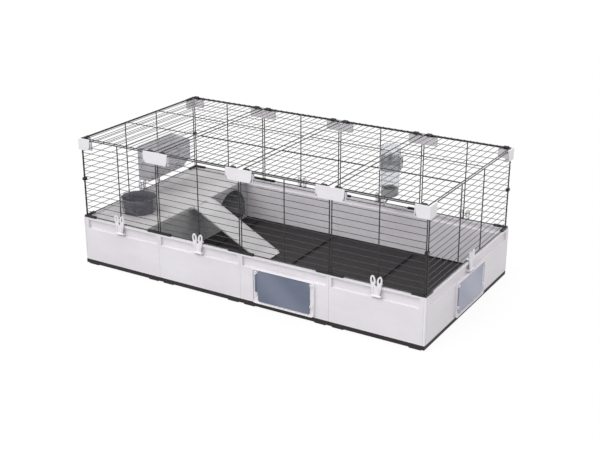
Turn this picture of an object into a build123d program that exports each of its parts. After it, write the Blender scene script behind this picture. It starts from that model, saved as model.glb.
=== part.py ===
from build123d import *
import os
from math import cos, radians, sin

os.makedirs("parts", exist_ok=True)

# Overall size of the cage in millimetres: four modules in a row
length = 1425.0
depth = 720.0
module_count = 4
module = length / module_count
half_length = length / 2
half_depth = depth / 2
seam = 0.6
module_centres = [-half_length + module * (i + 0.5) for i in range(module_count)]
boundaries = [-half_length + module * i for i in range(1, module_count)]

# Heights above the surface the cage stands on
foot_height = 4.0
gutter_z = 13.0
pad_z = 19.0
panel_bottom = 20.0
ledge_z = 148.0
band_top = 184.0
rim_z = 190.0
inner_ledge_z = 165.0
mesh_low = 194.0
mesh_high = 494.0
roof_z = 499.0

# Wall panels: a hollow moulding, measured inward from its outer face
panel_thickness = 20.0
panel_skin = 2.5
band_depth = 8.0
rim_width = 14.0
band_wall = 11.0
rib_width = 9.0
post_size = 14.0

# Welded wire
frame_r = 2.0
cross_r = 1.5
cross_drop = 0.2
thin_r = 1.1
weld = 0.4
wire_corner = 5.0
mesh_in = 8.0
thin_in = mesh_in - frame_r - thin_r + weld
mesh_gap = 4.5
first_wire_z = 215.4
wire_pitch = 23.07
wire_rows = 12
wire_heights = [first_wire_z + wire_pitch * i for i in range(wire_rows)]
end_upright = 11.5
side_upright = 15.0
wire_end = 1.5
side_bar = 97.0
channel_r = 2.25

# Roof panels and the clips that carry them
roof_in = 11.0
roof_half_width = 166.0
roof_wires = 14
roof_pitch = 2 * roof_half_width / (roof_wires - 1)
roof_half_depth = half_depth - roof_in
clip_width = 17.5
clip_offset = module / 2 - 151.5
clip_r = 5.5
hinge_clearance = 0.07
slot_clearance = 0.3

# Top connectors: a white cover in front of a black holder
cover_reach = 53.7
cover_low = 457.0
cover_high = 500.0
cover_in = 1.0
cover_thickness = 2.6
cover_lip = 5.0
holder_reach = 57.0
holder_low = 458.0
holder_high = 491.0
holder_in = 10.4
holder_thickness = 3.0

# Latches
latch_axis_in = -5.4
latch_plate_in = -1.5
latch_axis_z = 158.0
latch_pin_r = 1.5
pin_clearance = 0.06
latch_barrel_r = 3.6
latch_barrel_half = 14.0
latch_thickness = 3.0
latch_lug_gap = 0.4
latch_lug_width = 4.0
ear_x = 12.2
ear_z = 211.0
ear_rx = 9.5
ear_rz = 18.0
ear_splay = 8.0

# Windows
window_low = 21.0
window_high = 151.0
window_half = 124.5
bead = 4.0
bead_proud = 8.0
plate_proud = 3.0
opening_low = 36.0
opening_high = 139.0
opening_left = -94.0
opening_right = 100.0
pane_left = -101.0
pane_right = 107.0
pane_low = 29.5
pane_high = 145.5
pane_thickness = 2.7
pane_gap = 0.3
pivot_u = -110.0
pivot_in = -6.2
pivot_r = 2.0
pivot_barrel_r = 2.8
boss_heights = (58.0, 138.0)
button_heights = (60.0, 139.0)
button_u = 114.0
boss_r = 6.5
button_r = 6.0
proud = 9.0

# Platform, hideaway wall and ramp
platform_right = -430.0
platform_left = -697.5
platform_half = 344.0
platform_top = 187.0
platform_sheet = 3.0
skirt = 2.5
skirt_low = 165.4
wall_x = -437.0
wall_thickness = 4.0
wall_half = 336.0
wall_low = pad_z
wall_top = 183.4
arch_y = 222.0
arch_r = 98.0
arch_z = 68.0
arch_sill = 30.0
ramp_axis_x = -422.0
ramp_axis_z = 184.0
ramp_angle = 27.9
ramp_length = 360.5
ramp_half = 61.0
ramp_lift = 5.5
ramp_bar_r = 3.0
ramp_eye_r = 6.5
ramp_sheet = 3.5
ramp_rail = 5.0
eye_width = 34.0

# Bowl, hay rack and bottle
bowl_x = -577.0
bowl_y = -193.0
bowl_r = 71.5
bowl_height = 58.0
bowl_wall = 3.0
rack_low_y = -38.0
rack_high_y = 183.0
rack_low_z = 248.0
rack_front_z = 374.0
rack_back_z = 386.0
rack_back_x = -699.0
rack_front_x = -607.0
rack_foot_x = -645.0
rack_wall = 3.0
slat_pitch = 13.0
bottle_x = 247.0
bottle_y = 304.0
bottle_low = 262.0
bottle_shoulder = 360.0
bottle_top = 450.0
bottle_r = 39.0
bottle_lower_r = 36.5
bottle_wall = 1.6
cap_low = 251.0
cap_high = 281.0
tube_r = 4.0
tube_bore = 3.4
tube_down = 21.0
tube_run = 52.0
ball_r = 3.2

# Each side of the cage: the way its wall runs, seen from outside left to right, and the way inward
sides = {
    "front": (Vector(1, 0, 0), Vector(0, 1, 0), half_depth),
    "back": (Vector(-1, 0, 0), Vector(0, -1, 0), half_depth),
    "left": (Vector(0, -1, 0), Vector(1, 0, 0), half_length),
    "right": (Vector(0, 1, 0), Vector(-1, 0, 0), half_length),
}


def wall_point(side, u, inward, z=0.0):
    """A point by its place along a wall, its distance in from the wall's outer face, and its height."""
    along, into, half = sides[side]
    return along * u - into * (half - inward) + Vector(0, 0, z)


def face_plane(side, u=0.0, inward=0.0):
    """A plane that looks out of a wall: local x runs along the wall and local y is the height."""
    along, into, half = sides[side]
    return Plane(origin=wall_point(side, u, inward), x_dir=along, z_dir=into * -1)


def section_plane(side, u):
    """A plane across a wall: local x runs inward, local y is the height, and the normal runs along."""
    along, into, half = sides[side]
    return Plane(origin=wall_point(side, u, 0.0), x_dir=into, z_dir=along)


def corner_points(sx, sy, pairs):
    """Plan points near a corner of the cage from (in from the end, in from the front or back) pairs."""
    return [(sx * (half_length - a), sy * (half_depth - b)) for a, b in pairs]


def save(builder, label):
    """Label a finished piece and write its STEP file."""
    builder.part.label = label
    export_step(builder.part, f"parts/{label}.step")


# Floor trays
foot_size = (46.0, 15.0)
foot_inset = 34.0
border = panel_thickness + 1.0
pad_wall_gap = 14.0
pad_seam_gap = 9.0
pocket_top = 16.0
pocket_rib = 4.0
pocket_columns = 3
pocket_rows = 6
tray_inset = 1.0


def floor_tray(index):
    """One charcoal floor tile: a raised pad inside a gutter, a border under the walls and four feet."""
    first = index == 0
    last = index == module_count - 1
    low = -half_length + module * index + (tray_inset if first else seam / 2)
    high = -half_length + module * (index + 1) - (tray_inset if last else seam / 2)
    gutter_low = low + border if first else low - 1.0
    gutter_high = high - border if last else high + 1.0
    gutter_half = half_depth - border - tray_inset
    pad_low = gutter_low + pad_wall_gap if first else low + pad_seam_gap
    pad_high = gutter_high - pad_wall_gap if last else high - pad_seam_gap
    pad_half = gutter_half - pad_wall_gap
    with BuildPart() as tray:
        with BuildSketch(Plane.XY.offset(foot_height)):
            with Locations(((low + high) / 2, 0)):
                Rectangle(high - low, depth - 2 * tray_inset)
        extrude(amount=panel_bottom - foot_height)
        with BuildSketch(Plane.XY.offset(panel_bottom)):
            with Locations(((gutter_low + gutter_high) / 2, 0)):
                Rectangle(gutter_high - gutter_low, 2 * gutter_half)
        extrude(amount=gutter_z - panel_bottom, mode=Mode.SUBTRACT)
        with BuildSketch(Plane.XY.offset(gutter_z)):
            with Locations(((pad_low + pad_high) / 2, 0)):
                RectangleRounded(pad_high - pad_low, 2 * pad_half, 12)
        extrude(amount=pad_z - gutter_z)
        chamfer(tray.faces().filter_by(Axis.Z).filter_by_position(Axis.Z, pad_z - 0.1, pad_z + 0.1).edges(), 1.2)
        pocket_x = (pad_high - pad_low - 10) / pocket_columns
        pocket_y = (2 * pad_half - 10) / pocket_rows
        with BuildSketch(Plane.XY.offset(foot_height)):
            with Locations(((pad_low + pad_high) / 2, 0)):
                with GridLocations(pocket_x, pocket_y, pocket_columns, pocket_rows):
                    Rectangle(pocket_x - pocket_rib, pocket_y - pocket_rib)
        extrude(amount=pocket_top - foot_height, mode=Mode.SUBTRACT)
        foot_x = (high - low) / 2 - foot_inset
        foot_y = half_depth - tray_inset - foot_size[1] / 2
        with BuildSketch(Plane.XY.offset(foot_height)):
            with Locations(((low + high) / 2, 0)):
                with GridLocations(2 * foot_x, 2 * foot_y, 2, 2):
                    Rectangle(*foot_size)
        extrude(amount=-foot_height, taper=25)
    save(tray, f"floor_tray_{index + 1}")


for tray_index in range(module_count):
    floor_tray(tray_index)


# White wall panels, hollow and open below, with a shaded band under the rim
panel_outline = [
    (0, panel_bottom),
    (0, ledge_z),
    (band_depth, ledge_z + 2),
    (band_depth, band_top - 2),
    (0, band_top),
    (0, rim_z),
    (rim_width, rim_z),
    (rim_width, band_top),
    (band_wall, band_top - 2),
    (band_wall, inner_ledge_z),
    (panel_thickness, inner_ledge_z),
    (panel_thickness, panel_bottom),
]
hollow_outline = [
    (panel_skin, panel_bottom - 1),
    (panel_skin, ledge_z - 3),
    (band_wall, ledge_z - 1),
    (band_wall, inner_ledge_z - panel_skin),
    (panel_thickness - panel_skin, inner_ledge_z - panel_skin),
    (panel_thickness - panel_skin, panel_bottom - 1),
]
band_outline = [
    (0, ledge_z - 0.5),
    (0, band_top + 0.5),
    (band_depth + 0.5, band_top - 1.5),
    (band_depth + 0.5, ledge_z + 1.5),
]
web = 3.0
notch_length = 6.0
opening_centre = ((opening_left + opening_right) / 2, (opening_low + opening_high) / 2)
opening_width = opening_right - opening_left
opening_height = opening_high - opening_low


def base_panel(side, low, high, label, latches=(), window=None):
    """One wall panel from low to high along its side, with latch lugs and a window opening if it has them."""
    notched = side in ("left", "right")
    end_web = web + notch_length if notched else web
    with BuildPart() as panel:
        with BuildSketch(section_plane(side, low)):
            Polygon(*panel_outline, align=None)
        extrude(amount=high - low)
        with BuildSketch(section_plane(side, low + end_web)):
            Polygon(*hollow_outline, align=None)
        extrude(amount=high - low - 2 * end_web, mode=Mode.SUBTRACT)
        if notched:
            with BuildSketch(section_plane(side, low), section_plane(side, high - notch_length)):
                with Locations((post_size + 5, panel_bottom + 85)):
                    Rectangle(10, 180)
            extrude(amount=notch_length, mode=Mode.SUBTRACT)
        if window is not None:
            with BuildSketch(face_plane(side, window, 1)):
                with Locations(opening_centre):
                    RectangleRounded(opening_width + 10, opening_height + 10, 12)
            extrude(amount=-(panel_thickness - 2))
        with BuildSketch(section_plane(side, low), section_plane(side, high - rib_width)):
            Polygon(*band_outline, align=None)
        extrude(amount=rib_width)
        for latch_u in latches:
            lug_start = latch_barrel_half + latch_lug_gap
            starts = [latch_u + lug_start, latch_u - lug_start - latch_lug_width]
            with BuildSketch(*[section_plane(side, u) for u in starts]):
                with Locations((latch_axis_in, latch_axis_z)):
                    Circle(latch_barrel_r)
                with Locations(((latch_axis_in + band_depth + 0.5) / 2, latch_axis_z)):
                    Rectangle(band_depth + 0.5 - latch_axis_in, 2 * latch_barrel_r)
                with Locations((latch_axis_in, latch_axis_z)):
                    Circle(latch_pin_r + pin_clearance, mode=Mode.SUBTRACT)
            extrude(amount=latch_lug_width)
        if window is not None:
            with BuildSketch(face_plane(side, window, -1)):
                with Locations(opening_centre):
                    RectangleRounded(opening_width + 4, opening_height + 4, 9)
            extrude(amount=-(panel_thickness + 2), mode=Mode.SUBTRACT)
    save(panel, label)


# Only the third front module has a window in place of a latch
window_module = 2
for i, centre_x in enumerate(module_centres):
    low_cut = post_size + seam / 2 if i == 0 else seam / 2
    high_cut = post_size + seam / 2 if i == module_count - 1 else seam / 2
    low_x = centre_x - module / 2 + low_cut
    high_x = centre_x + module / 2 - high_cut
    front_latches = () if i == window_module else (centre_x,)
    front_window = centre_x if i == window_module else None
    base_panel("front", low_x, high_x, f"front_panel_{i + 1}", front_latches, front_window)
    base_panel("back", -high_x, -low_x, f"back_panel_{i + 1}", (-centre_x,))
side_end = half_depth - post_size - seam / 2
base_panel("left", -side_end, side_end, "left_panel", (0.0,))
base_panel("right", -side_end, side_end, "right_panel", (0.0,), 0.0)

# Corner posts, with upright grooves in both outer faces
groove_depth = 1.5
groove_width = 3.0
with BuildPart() as corner_posts:
    for sx in (-1, 1):
        for sy in (-1, 1):
            with BuildSketch(Plane.XY.offset(panel_bottom)):
                Polygon(*corner_points(sx, sy, [(0, 0), (post_size, 0), (post_size, post_size), (0, post_size)]), align=None)
                grooves = corner_points(sx, sy, [(post_size / 2 + 1, 0), (0, post_size / 2 + 1)])
                with Locations(grooves[0]):
                    Rectangle(groove_width, 2 * groove_depth, mode=Mode.SUBTRACT)
                with Locations(grooves[1]):
                    Rectangle(2 * groove_depth, groove_width, mode=Mode.SUBTRACT)
            extrude(amount=rim_z - panel_bottom)
    outer_edges = [
        e for e in corner_posts.edges().filter_by(Axis.Z)
        if abs(abs(e.center().X) - half_length) < 0.01 and abs(abs(e.center().Y) - half_depth) < 0.01
    ]
    fillet(outer_edges, 4)
save(corner_posts, "corner_posts")


# Windows: a frame on the wall, a clear pane on an upright pivot and two turn buttons
pane_low_barrel = boss_heights[0] + boss_r + 1.5
pane_high_barrel = boss_heights[1] - boss_r - 1.5
shank_r = 2.5


def window(side, centre, suffix):
    """The frame, the pane and the two buttons of one window, centred along its wall."""
    middle = (window_low + window_high) / 2
    with BuildPart() as frame:
        with BuildSketch(face_plane(side, centre)):
            with Locations((0, middle)):
                RectangleRounded(2 * window_half, window_high - window_low, 12)
        extrude(amount=bead_proud)
        with BuildSketch(face_plane(side, centre, -plate_proud)):
            with Locations((0, middle)):
                RectangleRounded(2 * (window_half - bead), window_high - window_low - 2 * bead, 9)
        extrude(amount=bead_proud, mode=Mode.SUBTRACT)
        fillet(frame.faces().sort_by(Axis(origin=(0, 0, 0), direction=sides[side][1] * -1))[-1].edges(), 1.2)
        with BuildSketch(face_plane(side, centre)):
            with Locations(*[(pivot_u, z) for z in boss_heights]):
                Circle(boss_r)
        extrude(amount=proud)
        with BuildSketch(face_plane(side, centre, -proud)):
            with Locations(*[(pivot_u, z) for z in boss_heights]):
                Circle(2.2)
        extrude(amount=-2, mode=Mode.SUBTRACT)
        pivot = wall_point(side, centre + pivot_u, pivot_in)
        with BuildSketch(Plane.XY.offset(boss_heights[0] - 3.5)):
            with Locations((pivot.X, pivot.Y)):
                Circle(pivot_r + pin_clearance)
        extrude(amount=boss_heights[1] - boss_heights[0] + 7, mode=Mode.SUBTRACT)
        with BuildSketch(face_plane(side, centre, 1)):
            with Locations(opening_centre):
                RectangleRounded(opening_width, opening_height, 8)
            with Locations(*[(button_u, z) for z in button_heights]):
                Circle(shank_r + pin_clearance)
        extrude(amount=plate_proud + 2, mode=Mode.SUBTRACT)
    save(frame, f"window_frame_{suffix}")

    with BuildPart() as pane:
        with BuildSketch(face_plane(side, centre, -plate_proud - pane_gap)):
            with Locations(((pane_left + pane_right) / 2, (pane_low + pane_high) / 2)):
                RectangleRounded(pane_right - pane_left, pane_high - pane_low, 7)
            web_width = pane_left + 2 - pivot_u
            with Locations((pivot_u + web_width / 2, (pane_low_barrel + pane_high_barrel) / 2)):
                Rectangle(web_width, pane_high_barrel - pane_low_barrel)
        extrude(amount=pane_thickness)
        with BuildSketch(Plane.XY.offset(pane_low_barrel)):
            with Locations((pivot.X, pivot.Y)):
                Circle(pivot_barrel_r)
        extrude(amount=pane_high_barrel - pane_low_barrel)
        with BuildSketch(Plane.XY.offset(boss_heights[0] - 3)):
            with Locations((pivot.X, pivot.Y)):
                Circle(pivot_r)
        extrude(amount=boss_heights[1] - boss_heights[0] + 6)
    save(pane, f"window_pane_{suffix}")

    for place, height in zip(("low", "high"), button_heights):
        with BuildPart() as button:
            with BuildSketch(face_plane(side, centre, -plate_proud - pane_gap)):
                with Locations((button_u, height)):
                    Circle(button_r)
            extrude(amount=proud - plate_proud - pane_gap)
            fillet(button.edges().group_by(Axis(origin=(0, 0, 0), direction=sides[side][1] * -1))[-1], 1.5)
            with BuildSketch(face_plane(side, centre, -proud)):
                with Locations((button_u, height)):
                    SlotOverall(10, 3.6, rotation=90)
            extrude(amount=-2.4, mode=Mode.SUBTRACT)
            with BuildSketch(face_plane(side, centre, -0.4)):
                with Locations((button_u, height)):
                    Circle(shank_r)
            extrude(amount=plate_proud + pane_gap)
        save(button, f"window_button_{suffix}_{place}")


window("front", module_centres[window_module], "front")
window("right", 0.0, "right")


# Welded wire walls: a round frame, uprights and thin rows of wire on the outer side
def wall_mesh(side, low, high, uprights, label):
    """One wire wall between two edge wires, with the uprights given along it."""
    with BuildPart() as mesh:
        with BuildLine(face_plane(side, 0, mesh_in)) as outline:
            corners = [(low, mesh_low), (high, mesh_low), (high, mesh_high), (low, mesh_high)]
            Polyline(*corners, close=True)
            fillet(outline.vertices(), wire_corner)
        path = outline.wires()[0]
        with BuildSketch(Plane(origin=path @ 0, z_dir=path % 0)):
            Circle(frame_r)
        sweep(path=path)
        for upright in uprights:
            place = wall_point(side, upright, mesh_in)
            with BuildSketch(Plane.XY.offset(mesh_low)):
                with Locations((place.X, place.Y)):
                    Circle(frame_r)
            extrude(amount=mesh_high - mesh_low)
        with BuildSketch(section_plane(side, low - wire_end)):
            with Locations(*[(thin_in, z) for z in wire_heights]):
                Circle(thin_r)
        extrude(amount=high - low + 2 * wire_end)
    save(mesh, label)
    return mesh


for i, centre_x in enumerate(module_centres):
    low_x = centre_x - module / 2 + (end_upright if i == 0 else mesh_gap)
    high_x = centre_x + module / 2 - (end_upright if i == module_count - 1 else mesh_gap)
    wall_mesh("front", low_x, high_x, [centre_x], f"front_mesh_{i + 1}")
    wall_mesh("back", -high_x, -low_x, [-centre_x], f"back_mesh_{i + 1}")
side_edge = half_depth - side_upright
right_mesh = wall_mesh("right", -side_edge, side_edge, [-side_bar, side_bar], "right_mesh")
with BuildPart() as left_mesh:
    add(right_mesh.part, rotation=(0, 0, 180))
save(left_mesh, "left_mesh")


def roof_mesh(index):
    """One roof panel: a round frame with two cross bars and thin wires from front to back."""
    centre_x = module_centres[index]
    with BuildPart() as mesh:
        with BuildLine(Plane.XY.offset(roof_z)) as outline:
            low_x = centre_x - roof_half_width
            high_x = centre_x + roof_half_width
            corners = [(low_x, -roof_half_depth), (high_x, -roof_half_depth)]
            corners += [(high_x, roof_half_depth), (low_x, roof_half_depth)]
            Polyline(*corners, close=True)
            fillet(outline.vertices(), wire_corner)
        path = outline.wires()[0]
        with BuildSketch(Plane(origin=path @ 0, z_dir=path % 0)):
            Circle(frame_r)
        sweep(path=path)
        with BuildSketch(Plane.YZ.offset(low_x - wire_end)):
            cross_z = roof_z + frame_r - cross_r - cross_drop
            with Locations(*[(y, cross_z) for y in (-side_bar, side_bar)]):
                Circle(cross_r)
        extrude(amount=2 * (roof_half_width + wire_end))
        thin_z = roof_z + frame_r + thin_r - weld
        inner = [low_x + roof_pitch * i for i in range(1, roof_wires - 1)]
        with BuildSketch(Plane.XZ.offset(roof_half_depth + wire_end)):
            with Locations(*[(x, thin_z) for x in inner]):
                Circle(thin_r)
        extrude(amount=-2 * (roof_half_depth + wire_end))
    save(mesh, f"roof_mesh_{index + 1}")


for roof_index in range(module_count):
    roof_mesh(roof_index)


# Top connectors
mid_cover = [
    (-cover_reach, cover_high),
    (cover_reach, cover_high),
    (cover_reach - 2, cover_low + 14),
    (cover_reach - 9, cover_low),
    (-cover_reach + 9, cover_low),
    (-cover_reach + 2, cover_low + 14),
]


def end_cover(toward):
    """The outline of one arm of a corner cover: square at the corner, tapered at its free end."""
    return [
        (0, cover_high),
        (toward * (cover_reach - cover_in), cover_high),
        (toward * (cover_reach - cover_in - 2), cover_low + 14),
        (toward * (cover_reach - cover_in - 9), cover_low),
        (0, cover_low),
    ]


with BuildPart() as connector_covers:
    for side in ("front", "back"):
        for boundary in boundaries:
            with BuildSketch(face_plane(side, boundary, cover_in)) as cover_face:
                Polygon(*mid_cover, align=None)
                low_corners = cover_face.vertices().group_by(Axis.Y)[0]
                fillet(low_corners, 8)
            extrude(amount=-cover_thickness)
            with BuildSketch(section_plane(side, boundary - cover_reach)):
                with Locations(((cover_in + cover_lip) / 2, cover_high - 1.2)):
                    Rectangle(cover_lip - cover_in, 2.4)
            extrude(amount=2 * cover_reach)
    for sx in (-1, 1):
        for sy in (-1, 1):
            long_side = "front" if sy < 0 else "back"
            short_side = "left" if sx < 0 else "right"
            long_u = (half_length - cover_in) * sx * (1 if sy < 0 else -1)
            short_u = (half_depth - cover_in) * sy * (-1 if sx < 0 else 1)
            for side, u in ((long_side, long_u), (short_side, short_u)):
                with BuildSketch(face_plane(side, u, cover_in)):
                    Polygon(*end_cover(-1 if u > 0 else 1), align=None)
                extrude(amount=-cover_thickness)
            with BuildSketch(Plane.XY.offset(cover_high - 2.4)):
                c, r, t = cover_in, cover_reach, cover_lip
                Polygon(*corner_points(sx, sy, [(c, c), (r, c), (r, t), (t, t), (t, r), (c, r)]), align=None)
            extrude(amount=2.4)
save(connector_covers, "connector_covers")


def connector_holders(side, label):
    """The black holders along one long side, with clips for the roof wire: bores behind, open slots in front."""
    open_top = side == "front"
    wire_clearance = slot_clearance if open_top else hinge_clearance
    sy = -1 if side == "front" else 1
    with BuildPart() as holders:
        for boundary in boundaries:
            with BuildSketch(face_plane(side, boundary, holder_in)):
                with Locations((0, (holder_low + holder_high) / 2)):
                    Rectangle(2 * holder_reach, holder_high - holder_low)
            extrude(amount=-holder_thickness)
            starts = [boundary - holder_reach, boundary + holder_reach - holder_thickness]
            with BuildSketch(*[section_plane(side, u) for u in starts]):
                low_in = cover_in + cover_thickness
                high_in = holder_in + holder_thickness
                with Locations(((low_in + high_in) / 2, (holder_low + holder_high) / 2)):
                    Rectangle(high_in - low_in, holder_high - holder_low)
            extrude(amount=holder_thickness)
            with BuildSketch(face_plane(side, boundary, cover_in + cover_thickness)):
                with Locations((-25, 481), (25, 481)):
                    Circle(4)
            extrude(amount=-(holder_in - cover_in - cover_thickness + 1))
        for sx in (-1, 1):
            h, r, t = holder_in, holder_reach, holder_in + holder_thickness
            n = cover_in + cover_thickness
            with BuildSketch(Plane.XY.offset(holder_low)):
                Polygon(*corner_points(sx, sy, [(h, h), (r, h), (r, t), (t, t), (t, r), (h, r)]), align=None)
                e = r - holder_thickness
                Polygon(*corner_points(sx, sy, [(e, n), (r, n), (r, t), (e, t)]), align=None)
                Polygon(*corner_points(sx, sy, [(n, e), (n, r), (t, r), (t, e)]), align=None)
            extrude(amount=holder_high - holder_low)
            short_side = "left" if sx < 0 else "right"
            long_u = (half_length - 30) * sx * (1 if sy < 0 else -1)
            short_u = (half_depth - 34) * sy * (-1 if sx < 0 else 1)
            for arm, u in ((side, long_u), (short_side, short_u)):
                with BuildSketch(face_plane(arm, u, n)):
                    with Locations((0, 481)):
                        Circle(4)
                extrude(amount=-(holder_in - n + 1))
        clips = [b + way * clip_offset for b in boundaries for way in (-1, 1)]
        clips += [clip_offset - half_length, half_length - clip_offset]
        for clip_u in clips:
            with BuildSketch(section_plane(side, clip_u - clip_width / 2)):
                with Locations((roof_in, roof_z)):
                    Circle(clip_r)
                with Locations(((holder_in + 14.4) / 2, (holder_high - 1 + roof_z) / 2)):
                    Rectangle(14.4 - holder_in, roof_z - holder_high + 1)
                with Locations((mesh_in, mesh_high)):
                    Circle(channel_r + 0.1, mode=Mode.SUBTRACT)
                with Locations((roof_in, roof_z)):
                    Circle(frame_r + wire_clearance, mode=Mode.SUBTRACT)
                if open_top:
                    with Locations((roof_in, roof_z + clip_r / 2 + 1)):
                        Rectangle(2 * (frame_r + wire_clearance), clip_r + 2, mode=Mode.SUBTRACT)
            extrude(amount=clip_width)
        top_row = wire_heights[-1]
        with BuildSketch(section_plane(side, -half_length)):
            with Locations((thin_in, top_row)):
                Circle(thin_r + slot_clearance)
        extrude(amount=length, mode=Mode.SUBTRACT)
        for short_side in ("left", "right"):
            with BuildSketch(section_plane(short_side, -half_depth)):
                with Locations((thin_in, top_row)):
                    Circle(thin_r + slot_clearance)
            extrude(amount=depth, mode=Mode.SUBTRACT)
    save(holders, label)


connector_holders("front", "connector_holders_front")
connector_holders("back", "connector_holders_back")

# Black clips that tie the corner uprights together half way up
tie_z = 341.0
tie_height = 10.0
with BuildPart() as corner_ties:
    for sx in (-1, 1):
        for sy in (-1, 1):
            uprights = corner_points(sx, sy, [(end_upright, mesh_in), (mesh_in, side_upright)])
            with BuildSketch(Plane.XY.offset(tie_z - tie_height / 2)):
                Polygon(*corner_points(sx, sy, [(4.5, 4.5), (16, 4.5), (16, 19), (4.5, 19)]), align=None)
                with Locations(*uprights):
                    Circle(channel_r, mode=Mode.SUBTRACT)
            extrude(amount=tie_height)
save(corner_ties, "corner_ties")

# Black bars that lock the foot of the wire walls to the rim
bar_half = 52.0
bar_top = 197.4
bar_in = 3.0
bar_out = 13.0
bar_centre = ((bar_in + bar_out) / 2, (rim_z + bar_top) / 2)
corner_reach = 56.0
slot_half = channel_r + 0.05
with BuildPart() as base_joint_bars:
    for side in ("front", "back"):
        for boundary in boundaries:
            with BuildSketch(section_plane(side, boundary - bar_half)):
                with Locations(bar_centre):
                    Rectangle(bar_out - bar_in, bar_top - rim_z)
                with Locations((mesh_in, (mesh_low - slot_half + bar_top + 1) / 2)):
                    Rectangle(2 * slot_half, bar_top + 1 - mesh_low + slot_half, mode=Mode.SUBTRACT)
            extrude(amount=2 * bar_half)
    for sx in (-1, 1):
        for sy in (-1, 1):
            i, o, r = bar_in, bar_out, corner_reach
            with BuildSketch(Plane.XY.offset(rim_z)):
                Polygon(*corner_points(sx, sy, [(i, i), (r, i), (r, o), (o, o), (o, r), (i, r)]), align=None)
            extrude(amount=bar_top - rim_z)
            m, s = mesh_in, slot_half
            with BuildSketch(Plane.XY.offset(mesh_low - slot_half)):
                Polygon(*corner_points(sx, sy, [(8, m - s), (r + 1, m - s), (r + 1, m + s), (8, m + s)]), align=None)
                Polygon(*corner_points(sx, sy, [(m - s, 12), (m - s, r + 1), (m + s, r + 1), (m + s, 12)]), align=None)
            extrude(amount=bar_top - mesh_low + slot_half + 1, mode=Mode.SUBTRACT)
save(base_joint_bars, "base_joint_bars")


# Latches that hook the lowest wire of a wall down to its panel
hook_low = mesh_low + frame_r + 0.5
hook_high = hook_low + 3.0
hook_reach = 11.0


def latch(side, u, label):
    """One white latch: a tapered plate on a pivot, two ears with long holes, and a hook over the wire."""
    outer_in = latch_plate_in - latch_thickness
    body = [(-13.5, latch_axis_z), (13.5, latch_axis_z), (13.5, 166), (20, 198), (6, 198)]
    body += [(0, 190), (-6, 198), (-20, 198), (-13.5, 166)]
    with BuildPart() as piece:
        with BuildSketch(face_plane(side, u, latch_plate_in)):
            Polygon(*body, align=None)
            for way in (-1, 1):
                with Locations((way * ear_x, ear_z)):
                    Ellipse(ear_rx, ear_rz, rotation=-way * ear_splay)
        extrude(amount=latch_thickness)
        with BuildSketch(section_plane(side, u - latch_barrel_half)):
            with Locations((latch_axis_in, latch_axis_z)):
                Circle(latch_barrel_r)
        extrude(amount=2 * latch_barrel_half)
        pin_half = latch_barrel_half + latch_lug_gap + latch_lug_width
        with BuildSketch(section_plane(side, u - pin_half)):
            with Locations((latch_axis_in, latch_axis_z)):
                Circle(latch_pin_r)
        extrude(amount=2 * pin_half)
        with BuildSketch(*[section_plane(side, start) for start in (u - 17, u + 7)]):
            with Locations(((outer_in + 1 + hook_reach) / 2, (hook_low + hook_high) / 2)):
                Rectangle(hook_reach - outer_in - 1, hook_high - hook_low)
        extrude(amount=10)
        with BuildSketch(*[section_plane(side, start) for start in (u - 11.2, u + 8.8)]):
            with Locations((outer_in - 0.8, 178)):
                Rectangle(2, 26)
        extrude(amount=2.4)
        with BuildSketch(face_plane(side, u, latch_plate_in + 1)):
            for way in (-1, 1):
                with Locations((way * (ear_x + 0.5), ear_z + 3)):
                    Ellipse(3.6, 10, rotation=-way * ear_splay)
        extrude(amount=latch_thickness + 2, mode=Mode.SUBTRACT)
    save(piece, label)


for i, centre_x in enumerate(module_centres):
    if i != window_module:
        latch("front", centre_x, f"front_latch_{i + 1}")
    latch("back", -centre_x, f"back_latch_{i + 1}")
latch("left", 0.0, "left_latch")
latch("right", 0.0, "right_latch")

# Hideaway wall under the edge of the platform, with an arched door
wall_plane = Plane(origin=(wall_x, 0, 0), x_dir=(0, 1, 0), z_dir=(1, 0, 0))
with BuildPart() as house_wall:
    with BuildSketch(wall_plane):
        with Locations((0, (wall_low + wall_top) / 2)):
            Rectangle(2 * wall_half, wall_top - wall_low)
    extrude(amount=wall_thickness)
    with BuildSketch(wall_plane.offset(-6)):
        with Locations((0, wall_top - 1.5), (0, wall_low + 1.5)):
            Rectangle(2 * wall_half, 3)
    extrude(amount=7)
    with BuildSketch(wall_plane.offset(wall_thickness - 0.5)):
        with Locations((arch_y, arch_z)):
            Circle(arch_r + 5)
        with Locations((arch_y, (arch_sill + arch_z) / 2)):
            Rectangle(2 * arch_r + 10, arch_z - arch_sill)
        with Locations((arch_y, arch_sill - 60)):
            Rectangle(2 * arch_r + 20, 120, mode=Mode.SUBTRACT)
    extrude(amount=1.7)
    with BuildSketch(wall_plane.offset(-2)):
        with Locations((arch_y, arch_z)):
            Circle(arch_r)
        with Locations((arch_y, (arch_sill + arch_z) / 2)):
            Rectangle(2 * arch_r, arch_z - arch_sill)
        with Locations((arch_y, arch_sill - 60)):
            Rectangle(2 * arch_r + 20, 120, mode=Mode.SUBTRACT)
    extrude(amount=wall_thickness + 4, mode=Mode.SUBTRACT)
save(house_wall, "house_wall")

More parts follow.
